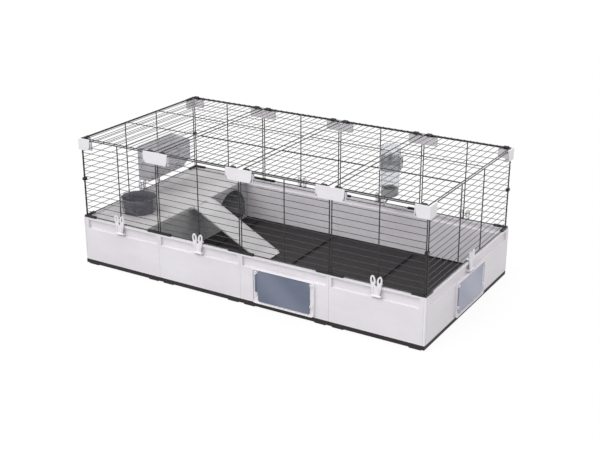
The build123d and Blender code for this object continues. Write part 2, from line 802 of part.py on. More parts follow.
# Platform over the hideaway, with a bar on its edge for the ramp
platform_mid_x = (platform_left + platform_right) / 2
platform_width = platform_right - platform_left
eye_low = (4 - ramp_half, 4 - ramp_half + eye_width)
eye_high = (ramp_half - 4 - eye_width, ramp_half - 4)
lug_spans = [
    (eye_low[0] - 6, eye_low[0] - 0.5),
    (eye_low[1] + 0.5, eye_high[0] - 0.5),
    (eye_high[1] + 0.5, eye_high[1] + 6),
]
rib_left = platform_left + 1.0
rib_right = wall_x - 8.0
peg_places = [(-441.0, -184.0), (-440.0, 238.0)]
with BuildPart() as platform:
    with BuildSketch(Plane.XY.offset(platform_top - platform_sheet)):
        with Locations((platform_mid_x, 0)):
            Rectangle(platform_width, 2 * platform_half)
    extrude(amount=platform_sheet)
    with BuildSketch(Plane.XY.offset(skirt_low)):
        with Locations((platform_mid_x, 0)):
            Rectangle(platform_width, 2 * platform_half)
            Rectangle(platform_width - 2 * skirt, 2 * (platform_half - skirt), mode=Mode.SUBTRACT)
        with Locations((platform_right - 2, 0)):
            Rectangle(8, 2 * platform_half + 2, mode=Mode.SUBTRACT)
    extrude(amount=platform_top - skirt_low)
    with BuildSketch(Plane.XY.offset(platform_top - 14)):
        with Locations((platform_right - 1, 0)):
            Rectangle(2, 2 * platform_half)
    extrude(amount=14)
    with BuildSketch(Plane.XY.offset(platform_top - 11)):
        with Locations(((rib_left + rib_right) / 2, 0)):
            with GridLocations(1, 2 * platform_half / 7, 1, 6):
                Rectangle(rib_right - rib_left, 2)
    extrude(amount=9)
    for lug_low, lug_high in lug_spans:
        with BuildSketch(Plane.XZ.offset(-lug_low)):
            with Locations((ramp_axis_x, ramp_axis_z)):
                Circle(5)
            with Locations(((platform_right - 1.5 + ramp_axis_x) / 2, ramp_axis_z)):
                Rectangle(ramp_axis_x - platform_right + 1.5, 10)
        extrude(amount=-(lug_high - lug_low))
    with BuildSketch(Plane.XZ.offset(-lug_spans[0][0])):
        with Locations((ramp_axis_x, ramp_axis_z)):
            Circle(ramp_bar_r)
    extrude(amount=-(lug_spans[2][1] - lug_spans[0][0]))
    with BuildSketch(Plane.XY.offset(platform_top - 0.5)):
        with Locations(*peg_places):
            Circle(5)
    extrude(amount=5, taper=10)
save(platform, "platform")

# Ramp that hangs on the bar by two eyes and rests its foot on the floor
slope = radians(ramp_angle)
ramp_along = Vector(cos(slope), 0, -sin(slope))
ramp_normal = Vector(sin(slope), 0, cos(slope))
ramp_width = 2 * ramp_half
ramp_axis = Vector(ramp_axis_x, 0, ramp_axis_z)
sheet_start = 8.0
ramp_sheet_plane = Plane(origin=ramp_axis + ramp_normal * ramp_lift, x_dir=ramp_along, z_dir=ramp_normal)
tread_hex_r = 6.5
tread_pitch = 8.0
with BuildPart() as ramp:
    with BuildSketch(ramp_sheet_plane):
        with Locations(((sheet_start + ramp_length) / 2, 0)):
            RectangleRounded(ramp_length - sheet_start, ramp_width, 5)
    extrude(amount=ramp_sheet)
    with BuildSketch(ramp_sheet_plane):
        rail_y = (ramp_width - ramp_rail) / 2
        with Locations(((sheet_start + ramp_length) / 2, rail_y), ((sheet_start + ramp_length) / 2, -rail_y)):
            Rectangle(ramp_length - sheet_start - 12, ramp_rail)
    extrude(amount=ramp_sheet + 2.5)
    with BuildSketch(ramp_sheet_plane.offset(ramp_sheet)):
        with Locations((sheet_start + (ramp_length - sheet_start) / 2, 0)):
            with HexLocations(tread_pitch, 18, 7):
                RegularPolygon(tread_hex_r, 6)
    extrude(amount=1.0)
    for eye_start, eye_end in (eye_low, eye_high):
        with BuildSketch(Plane.XZ.offset(-eye_start)):
            with Locations((ramp_axis_x, ramp_axis_z)):
                Circle(ramp_eye_r)
            arm = ramp_axis + ramp_along * 7 + ramp_normal * (ramp_lift + ramp_sheet) / 2
            with Locations((arm.X, arm.Z)):
                Rectangle(14, ramp_lift + ramp_sheet, rotation=-ramp_angle)
            with Locations((ramp_axis_x, ramp_axis_z)):
                Circle(ramp_bar_r + hinge_clearance, mode=Mode.SUBTRACT)
        extrude(amount=-(eye_end - eye_start))
save(ramp, "ramp")

# Smoky food bowl with many flat faces and a rounded lip
bowl_sides = 10
with BuildPart() as bowl:
    with BuildSketch(Plane.XY.offset(platform_top + 0.3)):
        with Locations((bowl_x, bowl_y)):
            RegularPolygon(bowl_r - 8, bowl_sides)
    with BuildSketch(Plane.XY.offset(platform_top + 0.3 + bowl_height)):
        with Locations((bowl_x, bowl_y)):
            RegularPolygon(bowl_r, bowl_sides)
    loft()
    with BuildSketch(Plane.XY.offset(platform_top + 0.3 + 10)):
        with Locations((bowl_x, bowl_y)):
            RegularPolygon(bowl_r - 8 - bowl_wall, bowl_sides)
    with BuildSketch(Plane.XY.offset(platform_top + 0.3 + bowl_height + 1)):
        with Locations((bowl_x, bowl_y)):
            RegularPolygon(bowl_r - bowl_wall, bowl_sides)
    loft(mode=Mode.SUBTRACT)
    with BuildSketch(Plane.XZ.offset(-bowl_y + bowl_r + 2)):
        with Locations((bowl_x, platform_top)):
            Rectangle(44, 14)
    extrude(amount=-26, mode=Mode.SUBTRACT)
save(bowl, "bowl")

# Hay rack hung on the left wall: open on top, with a slatted front
rack_depth = rack_high_y - rack_low_y
rack_knee_z = 300.0
rack_outer = [
    (rack_back_x, rack_low_z),
    (rack_foot_x, rack_low_z),
    (rack_front_x, rack_knee_z),
    (rack_front_x, rack_front_z),
    (rack_back_x, rack_back_z),
]
rack_inner = [
    (rack_back_x + rack_wall, rack_low_z + rack_wall),
    (rack_foot_x - 1, rack_low_z + rack_wall),
    (rack_front_x - rack_wall, rack_knee_z + 1),
    (rack_front_x - rack_wall, rack_front_z + 2),
    (rack_back_x + rack_wall, rack_back_z + 2),
]
rack_hook_z = wire_heights[6]
rack_hook_width = 14.0
slat_count = 8
with BuildPart() as hay_rack:
    with BuildSketch(Plane.XZ.offset(-rack_low_y)):
        Polygon(*rack_outer, align=None)
    extrude(amount=-rack_depth)
    with BuildSketch(Plane.XZ.offset(-rack_low_y - rack_wall)):
        Polygon(*rack_inner, align=None)
    extrude(amount=-(rack_depth - 2 * rack_wall), mode=Mode.SUBTRACT)
    with BuildSketch(Plane.YZ.offset(rack_foot_x + 4)):
        with Locations(((rack_low_y + rack_high_y) / 2, rack_low_z + 14 + slat_pitch * (slat_count - 1) / 2)):
            with GridLocations(rack_depth / 3, slat_pitch, 3, slat_count):
                Rectangle(rack_depth / 3 - 10, slat_pitch - 6)
    extrude(amount=rack_front_x - rack_foot_x, mode=Mode.SUBTRACT)
    for hook_y in (5.0, 126.0):
        with BuildSketch(Plane.XZ.offset(-hook_y)):
            arm_z = rack_hook_z + thin_r + 0.6
            tip_x = -half_length + thin_in - thin_r - 3.2
            with Locations(((tip_x + rack_back_x + 1) / 2, arm_z + 1.3)):
                Rectangle(rack_back_x + 1 - tip_x, 2.6)
            with Locations((tip_x + 1.2, arm_z - 2.5)):
                Rectangle(2.4, 10)
        extrude(amount=-rack_hook_width)
save(hay_rack, "hay_rack")

# Water bottle, upside down on the back wall
bottle_axis = Plane(origin=(bottle_x, bottle_y, 0), x_dir=(1, 0, 0), z_dir=(0, -1, 0))
neck_r = 29.0
with BuildPart() as bottle:
    with BuildSketch(bottle_axis):
        with BuildLine():
            Polyline(
                (0, bottle_top),
                (bottle_r - 9, bottle_top),
                (bottle_r, bottle_top - 9),
                (bottle_r, bottle_shoulder + 3),
                (bottle_lower_r, bottle_shoulder),
                (bottle_lower_r, cap_high + 9),
                (neck_r, cap_high + 1),
                (neck_r, bottle_low),
                (neck_r - bottle_wall, bottle_low),
                (neck_r - bottle_wall, cap_high + 2),
                (bottle_lower_r - bottle_wall, cap_high + 10),
                (bottle_lower_r - bottle_wall, bottle_shoulder + 1),
                (bottle_r - bottle_wall, bottle_shoulder + 4),
                (bottle_r - bottle_wall, bottle_top - 9.7),
                (bottle_r - 9.7, bottle_top - bottle_wall),
                (0, bottle_top - bottle_wall),
                close=True,
            )
        make_face()
    revolve(axis=Axis(origin=(bottle_x, bottle_y, 0), direction=(0, 0, 1)))
save(bottle, "bottle")

# Its screw cap with a bent drinking tube
drop = radians(tube_down)
tube_direction = Vector(0, -cos(drop), -sin(drop))
tube_elbow = Vector(bottle_x, bottle_y, cap_low - 8)
tube_mouth = tube_elbow + tube_direction * tube_run
lip_r = 3.0
lip_length = 1.0
with BuildPart() as bottle_cap:
    with BuildSketch(Plane.XY.offset(cap_low)):
        with Locations((bottle_x, bottle_y)):
            Circle(34)
    extrude(amount=cap_high - cap_low)
    fillet(bottle_cap.edges().group_by(Axis.Z)[0], 4)
    with BuildSketch(Plane.XY.offset(cap_low + 3)):
        with Locations((bottle_x, bottle_y)):
            with PolarLocations(34, 28):
                Circle(0.9)
    extrude(amount=cap_high - cap_low - 4, mode=Mode.SUBTRACT)
    with BuildSketch(Plane.XY.offset(bottle_low)):
        with Locations((bottle_x, bottle_y)):
            Circle(neck_r)
    extrude(amount=cap_high - bottle_low + 1, mode=Mode.SUBTRACT)
    with BuildSketch(Plane.XY.offset(cap_low + 0.5)):
        with Locations((bottle_x, bottle_y)):
            Circle(9)
    extrude(amount=-6.5, taper=8)
    with BuildSketch(Plane.XY.offset(cap_low)):
        with Locations((bottle_x, bottle_y)):
            Circle(tube_r)
    extrude(amount=-8)
    with Locations(tube_elbow):
        Sphere(tube_r)
    with BuildSketch(Plane(origin=tube_elbow, z_dir=tube_direction)):
        Circle(tube_r)
    extrude(amount=tube_run)
    with BuildSketch(Plane.XY.offset(cap_low - 8)):
        with Locations((bottle_x, bottle_y)):
            Circle(tube_bore - 0.4)
    extrude(amount=bottle_low - cap_low + 9, mode=Mode.SUBTRACT)
    with BuildSketch(Plane(origin=tube_elbow, z_dir=tube_direction)):
        Circle(tube_bore)
    extrude(amount=tube_run - lip_length, mode=Mode.SUBTRACT)
    with BuildSketch(Plane(origin=tube_elbow, z_dir=tube_direction)):
        Circle(lip_r)
    extrude(amount=tube_run + 1, mode=Mode.SUBTRACT)
save(bottle_cap, "bottle_cap")

# Steel ball that rests behind the lip of the tube
ball_place = tube_mouth - tube_direction * (lip_length + 1.3)
with BuildPart() as bottle_ball:
    with Locations(ball_place):
        Sphere(ball_r)
save(bottle_ball, "bottle_ball")

# Smoky bracket: a ring round the bottle on a back plate that hooks over a wire
bracket_low = 355.0
bracket_high = 399.0
bracket_r = 42.0
bracket_bore = 39.4
ledge_r = 37.0
ledge_top = 359.4
back_low_y = 343.5
back_high_y = 347.0
bracket_hook_z = wire_heights[7] + thin_r + 0.3
with BuildPart() as bottle_bracket:
    with BuildSketch(Plane.XY.offset(bracket_low)):
        with Locations((bottle_x, bottle_y)):
            Circle(bracket_r)
        with Locations((bottle_x, (back_low_y + back_high_y) / 2)):
            Rectangle(64, back_high_y - back_low_y)
    extrude(amount=bracket_high - bracket_low)
    with BuildSketch(Plane.XY.offset(bracket_low - 1)):
        with Locations((bottle_x, bottle_y)):
            Circle(ledge_r)
    extrude(amount=bracket_high - bracket_low + 2, mode=Mode.SUBTRACT)
    with BuildSketch(Plane.XY.offset(ledge_top)):
        with Locations((bottle_x, bottle_y)):
            Circle(bracket_bore)
    extrude(amount=bracket_high - ledge_top + 1, mode=Mode.SUBTRACT)
    for hook_x in (bottle_x - 26, bottle_x + 12):
        with BuildSketch(Plane.YZ.offset(hook_x)):
            with Locations(((back_high_y - 1 + 358.6) / 2, bracket_hook_z + 1.3)):
                Rectangle(358.6 - back_high_y + 1, 2.6)
            with Locations((357.5, bracket_hook_z - 2)):
                Rectangle(2.2, 9)
        extrude(amount=14)
save(bottle_bracket, "bottle_bracket")
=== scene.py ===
# %% [markdown]
# A modular wire cage for small rodents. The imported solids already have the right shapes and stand
# in the right places. This script adds what the solids lack: finishes, a turned bottle with its
# bent tube, light and a camera.

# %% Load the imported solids
import math

import bmesh
import bpy
import numpy as np
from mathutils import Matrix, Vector


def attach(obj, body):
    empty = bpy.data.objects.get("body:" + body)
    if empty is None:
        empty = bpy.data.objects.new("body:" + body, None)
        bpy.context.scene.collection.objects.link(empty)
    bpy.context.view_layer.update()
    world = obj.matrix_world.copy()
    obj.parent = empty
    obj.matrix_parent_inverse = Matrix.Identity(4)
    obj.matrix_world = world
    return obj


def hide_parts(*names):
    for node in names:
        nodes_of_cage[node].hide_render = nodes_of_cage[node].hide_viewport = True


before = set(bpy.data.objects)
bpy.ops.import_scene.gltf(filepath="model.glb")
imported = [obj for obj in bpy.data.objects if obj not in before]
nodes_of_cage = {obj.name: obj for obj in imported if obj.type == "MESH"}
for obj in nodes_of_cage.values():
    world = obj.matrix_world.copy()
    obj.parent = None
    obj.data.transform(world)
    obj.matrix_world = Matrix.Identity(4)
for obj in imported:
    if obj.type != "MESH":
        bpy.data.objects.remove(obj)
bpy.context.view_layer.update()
print("pieces:", len(nodes_of_cage))

# %% [markdown]
# The camera stands about where the photo was taken from: in front and to the right, looking down
# at about 21 degrees. The photo has a shifted lens, so a shifted camera was fitted to corners of
# the cage first, and this plain one was then fitted to that camera. Corners land some pixels off,
# but any other view of the cage stays framed as well.

# %% Camera
camera_place = Vector((1.9863, -3.2642, 1.6625))
camera_azimuth = math.radians(30.9515)
camera_elevation = math.radians(21.2266)
focal_pixels = 1093.8
photo_width = 600
sensor_mm = 36.0

camera_data = bpy.data.cameras.new("photo_camera")
camera_data.sensor_width = sensor_mm
camera_data.lens = focal_pixels / photo_width * sensor_mm
camera_data.clip_start = 0.05
camera_data.clip_end = 100.0
camera = bpy.data.objects.new("photo_camera", camera_data)
back = Vector((
    math.sin(camera_azimuth) * math.cos(camera_elevation),
    -math.cos(camera_azimuth) * math.cos(camera_elevation),
    math.sin(camera_elevation),
))
camera.location = camera_place
camera.rotation_mode = "QUATERNION"
camera.rotation_quaternion = (-back).to_track_quat("-Z", "Y")
bpy.context.collection.objects.link(camera)
bpy.context.scene.camera = camera
print("lens in mm:", round(camera_data.lens, 2))

# %% [markdown]
# A studio photo of a pale object needs even light. The sky does most of the work: it is twice as
# bright overhead as at the horizon, so light reaches down into the cage. One wide, soft sun from
# the front left gives the front a little more light than the end. To the camera and to glass the
# sky is plain white.

# %% Light
scene = bpy.context.scene
scene.view_settings.view_transform = "Standard"
horizon_strength = 0.72
overhead_strength = 1.44
sun_strength = 1.08
sun_width = math.radians(40)
sun_way = Vector((0.35, 0.55, -0.76))
white = (1.0, 1.0, 1.0, 1.0)
world = bpy.data.worlds.new("white_studio")
scene.world = world
world.use_nodes = True
sky_nodes, sky_links = world.node_tree.nodes, world.node_tree.links
sky_nodes.clear()


def seen_directly(nodes, links):
    """1 for rays from the camera, off a gloss or through glass; 0 for rays that light the cage."""
    path = nodes.new("ShaderNodeLightPath")
    either = nodes.new("ShaderNodeMath")
    either.operation = "MAXIMUM"
    links.new(path.outputs["Is Camera Ray"], either.inputs[0])
    links.new(path.outputs["Is Glossy Ray"], either.inputs[1])
    any_ray = nodes.new("ShaderNodeMath")
    any_ray.operation = "MAXIMUM"
    links.new(either.outputs[0], any_ray.inputs[0])
    links.new(path.outputs["Is Transmission Ray"], any_ray.inputs[1])
    return any_ray.outputs[0]


light_sky = sky_nodes.new("ShaderNodeBackground")
light_sky.inputs["Color"].default_value = white
sky_way = sky_nodes.new("ShaderNodeTexCoord")
sky_parts = sky_nodes.new("ShaderNodeSeparateXYZ")
sky_links.new(sky_way.outputs["Generated"], sky_parts.inputs[0])
sky_ramp = sky_nodes.new("ShaderNodeMapRange")
sky_ramp.inputs["To Min"].default_value = horizon_strength
sky_ramp.inputs["To Max"].default_value = overhead_strength
sky_links.new(sky_parts.outputs[2], sky_ramp.inputs["Value"])
sky_links.new(sky_ramp.outputs["Result"], light_sky.inputs["Strength"])
white_sky = sky_nodes.new("ShaderNodeBackground")
white_sky.inputs["Color"].default_value = white
white_sky.inputs["Strength"].default_value = 1.0
sky_mix = sky_nodes.new("ShaderNodeMixShader")
sky_out = sky_nodes.new("ShaderNodeOutputWorld")
sky_links.new(seen_directly(sky_nodes, sky_links), sky_mix.inputs[0])
sky_links.new(light_sky.outputs[0], sky_mix.inputs[1])
sky_links.new(white_sky.outputs[0], sky_mix.inputs[2])
sky_links.new(sky_mix.outputs[0], sky_out.inputs["Surface"])

sun_data = bpy.data.lights.new("soft_sun", "SUN")
sun_data.energy = sun_strength
sun_data.angle = sun_width
sun = bpy.data.objects.new("soft_sun", sun_data)
sun.rotation_mode = "QUATERNION"
sun.rotation_quaternion = sun_way.to_track_quat("-Z", "Y")
bpy.context.collection.objects.link(sun)
print("sky", horizon_strength, "to", overhead_strength, "sun", sun_strength)

# %% [markdown]
# The floor is a wide white sheet. To the camera it glows almost white and keeps a faint contact
# shadow; to the cage it is a grey card that throws some light back up.

# %% Floor
floor_mesh = bpy.data.meshes.new("studio_floor")
floor_half = 20.0
card_grey = (0.45, 0.45, 0.45, 1.0)
glow_strength = 1.09
glow_share = 0.84
floor_corners = [(-floor_half, -floor_half, 0), (floor_half, -floor_half, 0)]
floor_corners += [(floor_half, floor_half, 0), (-floor_half, floor_half, 0)]
floor_mesh.from_pydata(floor_corners, [], [(0, 1, 2, 3)])
floor = bpy.data.objects.new("studio_floor", floor_mesh)
bpy.context.collection.objects.link(floor)
floor_card = bpy.data.materials.new("floor_card")
floor_card.use_nodes = True
card_nodes, card_links = floor_card.node_tree.nodes, floor_card.node_tree.links
card_nodes.clear()
card = card_nodes.new("ShaderNodeBsdfDiffuse")
card.inputs["Color"].default_value = card_grey
glow = card_nodes.new("ShaderNodeEmission")
glow.inputs["Strength"].default_value = glow_strength
lit_card = card_nodes.new("ShaderNodeMixShader")
lit_card.inputs[0].default_value = glow_share
card_links.new(card.outputs[0], lit_card.inputs[1])
card_links.new(glow.outputs[0], lit_card.inputs[2])
card_mix = card_nodes.new("ShaderNodeMixShader")
card_out = card_nodes.new("ShaderNodeOutputMaterial")
card_links.new(seen_directly(card_nodes, card_links), card_mix.inputs[0])
card_links.new(card.outputs[0], card_mix.inputs[1])
card_links.new(lit_card.outputs[0], card_mix.inputs[2])
card_links.new(card_mix.outputs[0], card_out.inputs["Surface"])
floor_mesh.materials.append(floor_card)
print("floor side in m:", 2 * floor_half, "share of glow:", glow_share)

# %% [markdown]
# Every finish is a Principled shader with a few patterns on Object coordinates. The cage is in
# metres, so a noise of scale 500 has grains about 2 mm wide. Six small helpers keep the finishes
# short: start a material, place its pattern, make a noise, stretch a value over a new range, mix
# two colours, and add relief.


# %% Helpers for finishes
def start_finish(name, roughness, metallic=0.0, transmission=0.0, ior=1.46):
    """A material with one Principled shader; numbers equal all over sit on its own sockets."""
    finish = bpy.data.materials.new(name)
    finish.use_nodes = True
    shader = finish.node_tree.nodes["Principled BSDF"]
    shader.inputs["Roughness"].default_value = roughness
    shader.inputs["Metallic"].default_value = metallic
    shader.inputs["Transmission Weight"].default_value = transmission
    shader.inputs["IOR"].default_value = ior
    return finish, finish.node_tree.nodes, finish.node_tree.links, shader


def object_point(nodes, links, stretch=(1.0, 1.0, 1.0), turn=(0.0, 0.0, 0.0)):
    """Object coordinates, stretched and turned by a Mapping node."""
    place = nodes.new("ShaderNodeTexCoord")
    mapping = nodes.new("ShaderNodeMapping")
    mapping.inputs["Scale"].default_value = stretch
    mapping.inputs["Rotation"].default_value = turn
    links.new(place.outputs["Object"], mapping.inputs["Vector"])
    return mapping.outputs["Vector"]


def grain(nodes, links, point, scale, detail=3.0, roughness=0.55):
    """Noise between 0 and 1 with features about 1 / scale metres wide."""
    noise = nodes.new("ShaderNodeTexNoise")
    noise.inputs["Scale"].default_value = scale
    noise.inputs["Detail"].default_value = detail
    noise.inputs["Roughness"].default_value = roughness
    links.new(point, noise.inputs["Vector"])
    return noise.outputs["Fac"]


def spread(nodes, links, value, low, high, to_low=0.0, to_high=1.0):
    """Stretches the part of a value between low and high over a new range; clamps the rest."""
    span = nodes.new("ShaderNodeMapRange")
    span.inputs["From Min"].default_value = low
    span.inputs["From Max"].default_value = high
    span.inputs["To Min"].default_value = to_low
    span.inputs["To Max"].default_value = to_high
    links.new(value, span.inputs["Value"])
    return span.outputs["Result"]


def mix_colours(nodes, links, factor, first, second):
    """A colour between first and second; each may be a colour or a socket."""
    mix = nodes.new("ShaderNodeMix")
    mix.data_type = "RGBA"
    links.new(factor, mix.inputs[0])
    for value, entry in ((first, mix.inputs[6]), (second, mix.inputs[7])):
        if isinstance(value, tuple):
            entry.default_value = (*value, 1.0)
        else:
            links.new(value, entry)
    return mix.outputs[2]


def relief(nodes, links, shader, height, strength, depth):
    """Turns a height between 0 and 1 into bumps that are depth metres tall."""
    bump = nodes.new("ShaderNodeBump")
    bump.inputs["Strength"].default_value = strength
    bump.inputs["Distance"].default_value = depth
    links.new(height, bump.inputs["Height"])
    links.new(bump.outputs["Normal"], shader.inputs["Normal"])


# %% [markdown]
# The wall panels and clips are white injection-moulded plastic with a cool, faintly lilac cast.
# Up close it is never one white: broad flow marks from the mould, a fine spark-eroded grain, and
# a little dust.


# %% White moulded plastic
dust_grey = (0.56, 0.54, 0.56)


def white_plastic(name, shade, bright):
    """Cool white with broad flow marks between two tones, fine grain and thin dust."""
    finish, nodes, links, shader = start_finish(name, 0.42)
    point = object_point(nodes, links)
    stretched = object_point(nodes, links, (1.0, 1.0, 3.0))
    flow = spread(nodes, links, grain(nodes, links, stretched, 5.0), 0.3, 0.7)
    dust = spread(nodes, links, grain(nodes, links, point, 60.0, 5.0, 0.7), 0.56, 0.74, 0.0, 0.16)
    clean = mix_colours(nodes, links, flow, shade, bright)
    links.new(mix_colours(nodes, links, dust, clean, dust_grey), shader.inputs["Base Color"])
    links.new(spread(nodes, links, flow, 0.0, 1.0, 0.36, 0.48), shader.inputs["Roughness"])
    relief(nodes, links, shader, grain(nodes, links, point, 1400.0, 2.0), 0.18, 0.0003)
    return finish


wall_white = white_plastic("wall_white", (0.700, 0.672, 0.708), (0.765, 0.740, 0.775))
clip_white = white_plastic("clip_white", (0.745, 0.720, 0.755), (0.810, 0.785, 0.820))
print("made:", wall_white.name, clip_white.name)

# %% [markdown]
# The floor trays are matte charcoal plastic. Claws and bedding leave fine pale scuffs that run
# both ways, and the recycled plastic shows small pale specks. The black clips use the same idea
# with more gloss.


# %% Dark plastics
def dark_plastic(name, dark, pale, roughness, scuffs):
    """Dark plastic with specks, and with scuffs: stretched noise cut down to thin streaks."""
    finish, nodes, links, shader = start_finish(name, roughness)
    shader.inputs["Specular IOR Level"].default_value = 0.36
    point = object_point(nodes, links)
    cloud = spread(nodes, links, grain(nodes, links, point, 9.0, 4.0), 0.3, 0.7)
    clouded = tuple(0.75 * a + 0.25 * b for a, b in zip(dark, pale))
    colour = mix_colours(nodes, links, cloud, dark, clouded)
    specks = spread(nodes, links, grain(nodes, links, point, 650.0, 1.0), 0.66, 0.74, 0.0, 0.5)
    colour = mix_colours(nodes, links, specks, colour, pale)
    if scuffs:
        for stretch in ((8.0, 140.0, 8.0), (150.0, 7.0, 8.0)):
            along = object_point(nodes, links, stretch, (0.0, 0.0, 0.35))
            streaks = grain(nodes, links, along, 1.0, 4.0, 0.7)
            thin_streaks = spread(nodes, links, streaks, 0.60, 0.72, 0.0, 0.35)
            colour = mix_colours(nodes, links, thin_streaks, colour, pale)
    links.new(colour, shader.inputs["Base Color"])
    uneven = spread(nodes, links, cloud, 0.0, 1.0, roughness - 0.05, roughness + 0.08)
    links.new(uneven, shader.inputs["Roughness"])
    relief(nodes, links, shader, grain(nodes, links, point, 900.0, 3.0), 0.35, 0.0004)
    return finish


tray_dark, tray_pale = (0.017, 0.0132, 0.0155), (0.058, 0.052, 0.055)
tray_charcoal = dark_plastic("tray_charcoal", tray_dark, tray_pale, 0.62, True)
clip_dark, clip_pale = (0.010, 0.010, 0.011), (0.030, 0.030, 0.032)
clip_black = dark_plastic("clip_black", clip_dark, clip_pale, 0.34, False)
print("made:", tray_charcoal.name, clip_black.name)

# %% [markdown]
# A connector is white like the cover in front of it, and only the clips on its top edge are
# black. Both are one solid, so its finish changes from white to black at the height of that edge.

# %% White connector with black clips
holder_top = 0.4913
blend_height = 0.0002
holder_two_tone, nodes, links, shader = start_finish("holder_two_tone", 0.40)
point = object_point(nodes, links)
parts = nodes.new("ShaderNodeSeparateXYZ")
links.new(point, parts.inputs[0])
on_clip = spread(nodes, links, parts.outputs[2], holder_top, holder_top + blend_height)
flow = spread(nodes, links, grain(nodes, links, point, 12.0), 0.3, 0.7)
white_part = mix_colours(nodes, links, flow, (0.640, 0.618, 0.650), (0.720, 0.698, 0.730))
black_part = mix_colours(nodes, links, flow, (0.009, 0.009, 0.010), (0.026, 0.026, 0.028))
links.new(mix_colours(nodes, links, on_clip, white_part, black_part), shader.inputs["Base Color"])
links.new(spread(nodes, links, flow, 0.0, 1.0, 0.34, 0.46), shader.inputs["Roughness"])
relief(nodes, links, shader, grain(nodes, links, point, 1100.0, 2.0), 0.2, 0.0003)
print("made:", holder_two_tone.name, "black above", holder_top)

# %% [markdown]
# The wire is dipped in black enamel. Enamel is glossy and slightly wavy like orange peel, and it
# thins and greys a little here and there, which keeps hundreds of equal wires from looking drawn.

# %% Black enamelled wire
wire_enamel, nodes, links, shader = start_finish("wire_enamel", 0.28)
shader.inputs["Coat Weight"].default_value = 0.2
shader.inputs["Coat Roughness"].default_value = 0.12
point = object_point(nodes, links)
worn = spread(nodes, links, grain(nodes, links, point, 38.0, 5.0, 0.65), 0.48, 0.70)
enamel = mix_colours(nodes, links, worn, (0.005, 0.005, 0.006), (0.020, 0.020, 0.023))
links.new(enamel, shader.inputs["Base Color"])
links.new(spread(nodes, links, worn, 0.0, 1.0, 0.22, 0.42), shader.inputs["Roughness"])
relief(nodes, links, shader, grain(nodes, links, point, 420.0, 2.0), 0.25, 0.0003)
print("made:", wire_enamel.name)

# %% [markdown]
# The platform, the hideaway wall and the ramp are grey plastic with a pebbled skin, so paws don't
# slip. A Voronoi pattern makes the pebbles, with painted shade darkening the spaces between them,
# and a slow noise rubs some of them paler, as on a used one.


# %% Grey pebbled plastic
def pebbled_plastic(name, colour, rubbed, pebble_scale):
    """Grey plastic with a Voronoi pebble relief, painted shade between the pebbles, and paler
    rubbed areas.
    """
    finish, nodes, links, shader = start_finish(name, 0.5)
    point = object_point(nodes, links)
    pebbles = nodes.new("ShaderNodeTexVoronoi")
    pebbles.inputs["Scale"].default_value = pebble_scale
    links.new(point, pebbles.inputs["Vector"])
    wear = spread(nodes, links, grain(nodes, links, point, 7.0, 5.0, 0.6), 0.35, 0.68)
    tone = mix_colours(nodes, links, wear, colour, rubbed)
    # Painted shade: the spaces between the pebbles are darkened to 0.6 of the colour.
    shade_between_pebbles = spread(nodes, links, pebbles.outputs["Distance"], 0.3, 0.8, 0.0, 0.22)
    painted_gap_shade = tuple(0.6 * v for v in colour)
    links.new(mix_colours(nodes, links, shade_between_pebbles, tone, painted_gap_shade), shader.inputs["Base Color"])
    links.new(spread(nodes, links, wear, 0.0, 1.0, 0.56, 0.42), shader.inputs["Roughness"])
    relief(nodes, links, shader, pebbles.outputs["Distance"], 0.3, -0.0004)
    return finish


platform_grey = pebbled_plastic("platform_grey", (0.47, 0.455, 0.465), (0.54, 0.525, 0.535), 420.0)
ramp_grey = pebbled_plastic("ramp_grey", (0.50, 0.49, 0.50), (0.58, 0.57, 0.58), 300.0)
house_grey = pebbled_plastic("house_grey", (0.40, 0.398, 0.406), (0.46, 0.458, 0.466), 380.0)
print("made:", platform_grey.name, ramp_grey.name, house_grey.name)

# %% [markdown]
# The window doors are tinted clear plastic. Against the dark inside they read blue-grey, with broad
# diagonal paler bands painted on as a sheen of reflected light. The one at the end looks paler,
# because more light falls behind it.


# %% Tinted window plastic
def tinted_pane(name, deep, pale):
    """Blue-grey sheet with a painted sheen in broad diagonal bands: a wave along the diagonal,
    softened by noise.
    """
    finish, nodes, links, shader = start_finish(name, 0.10, transmission=0.22, ior=1.49)
    point = object_point(nodes, links)
    # Painted sheen: a diagonal wave mixes in the paler tone where the sheet would reflect light.
    bands = nodes.new("ShaderNodeTexWave")
    bands.bands_direction = "DIAGONAL"
    bands.inputs["Scale"].default_value = 2.6
    bands.inputs["Distortion"].default_value = 1.2
    bands.inputs["Detail"].default_value = 2.0
    links.new(point, bands.inputs["Vector"])
    painted_sheen = spread(nodes, links, bands.outputs["Fac"], 0.15, 0.95)
    haze = spread(nodes, links, grain(nodes, links, point, 24.0, 4.0, 0.7), 0.5, 0.8, 0.0, 0.4)
    colour = mix_colours(nodes, links, haze, mix_colours(nodes, links, painted_sheen, deep, pale), pale)
    links.new(colour, shader.inputs["Base Color"])
    slanted = object_point(nodes, links, (12.0, 12.0, 260.0), (0.5, 0.3, 0.0))
    scratches = grain(nodes, links, slanted, 2.0, 4.0)
    links.new(spread(nodes, links, scratches, 0.5, 0.8, 0.08, 0.24), shader.inputs["Roughness"])
    relief(nodes, links, shader, grain(nodes, links, point, 14.0, 1.0), 0.15, 0.0010)
    return finish


pane_blue = tinted_pane("pane_blue", (0.150, 0.178, 0.258), (0.208, 0.238, 0.325))
pane_pale = tinted_pane("pane_pale", (0.335, 0.358, 0.480), (0.418, 0.440, 0.565))
print("made:", pane_blue.name, pane_pale.name)
